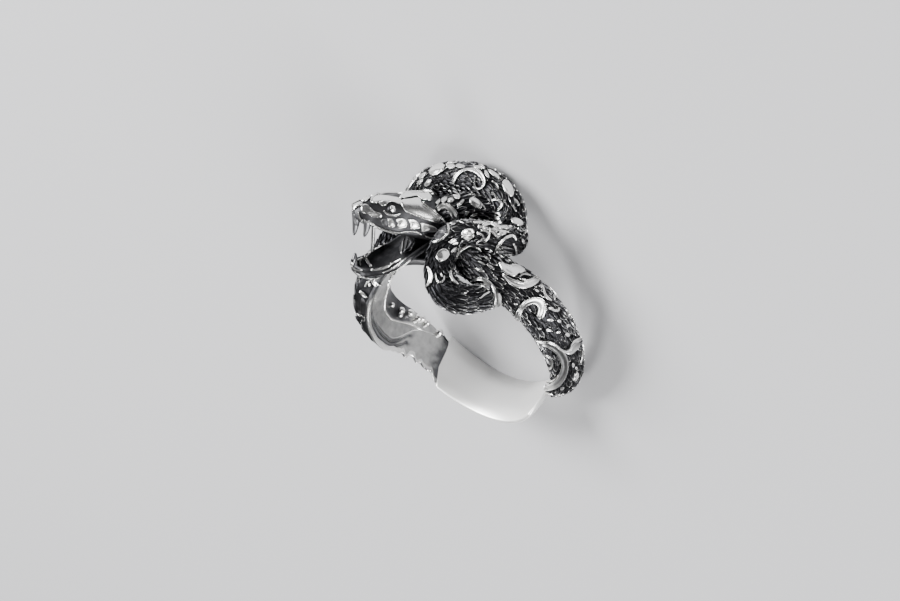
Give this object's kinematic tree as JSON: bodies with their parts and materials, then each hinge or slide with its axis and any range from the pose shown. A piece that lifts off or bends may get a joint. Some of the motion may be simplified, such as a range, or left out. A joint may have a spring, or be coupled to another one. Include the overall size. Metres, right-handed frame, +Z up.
{
  "type": "snake ring",
  "caption": "Cast finger ring shaped as a coiled snake with a knotted body, raised scales and an open mouth, on a plain polished band.",
  "frame": {"origin": "centre of the ring's bounding box, on the surface it rests on", "axes": "+Z up from the surface the ring lies on, +Y from the finger hole towards the knot, +X towards the thicker shank"},
  "size_m": [0.0268, 0.0286, 0.0147],
  "materials": {
    "silver": "cast silver, polished on the raised parts and darkened in the recesses"
  },
  "bodies": {
    "root": {"snake_ring": "silver"}
  },
  "joints": []
}
